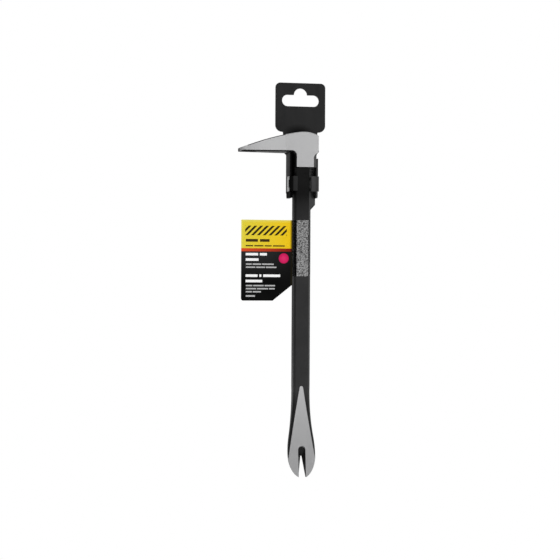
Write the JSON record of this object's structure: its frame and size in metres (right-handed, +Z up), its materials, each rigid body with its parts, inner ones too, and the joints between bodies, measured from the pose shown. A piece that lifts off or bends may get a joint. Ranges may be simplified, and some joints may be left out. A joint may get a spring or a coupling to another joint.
{
  "type": "pry bar",
  "caption": "Forged claw bar with a bent claw head, ground faces, nail notches and a flared lower claw, held in a moulded hang-slot carrier with a blank flag label.",
  "frame": {"origin": "middle of the round hump of the hang slot, in the bar's middle plane", "axes": "+Z up along the bar's length, the broad front faces -Y, the claw head points to -X"},
  "size_m": [0.08, 0.0231, 0.3484],
  "materials": {
    "bar_steel": "satin black paint, ground bright on the head's sides and the lower claw's face",
    "hanger_plastic": "moulded, satin",
    "label_film": "clear gloss film",
    "label_print": "printed two-ply film, gloss"
  },
  "bodies": {
    "hanger": {"hanger": "hanger_plastic"},
    "bar": {"pry_bar": "bar_steel", "clear_wrap": "label_film"},
    "finger_left": {"snap_finger_left": "hanger_plastic"},
    "finger_right": {"snap_finger_right": "hanger_plastic"},
    "label": {"label_flag": "label_print"}
  },
  "joints": [
    {"name": "bar_lift", "type": "slide", "parent": "hanger", "child": "bar", "axis": [0, 0, 1], "range_m": [0, 0.019]},
    {"name": "finger_left_flex", "type": "hinge", "parent": "hanger", "child": "finger_left", "pos_m": [-0.0122, 0.004, -0.08], "axis": [0, 0, -1], "range_deg": [0, 22], "stiffness_Nm_per_rad": 0.05},
    {"name": "finger_right_flex", "type": "hinge", "parent": "hanger", "child": "finger_right", "pos_m": [0.0122, 0.004, -0.08], "axis": [0, 0, 1], "range_deg": [0, 22], "stiffness_Nm_per_rad": 0.05},
    {"name": "label_flex", "type": "hinge", "parent": "bar", "child": "label", "pos_m": [-0.00959, -0.003, -0.136], "axis": [0, 0, 1], "range_deg": [-60, 60], "stiffness_Nm_per_rad": 0.002}
  ]
}
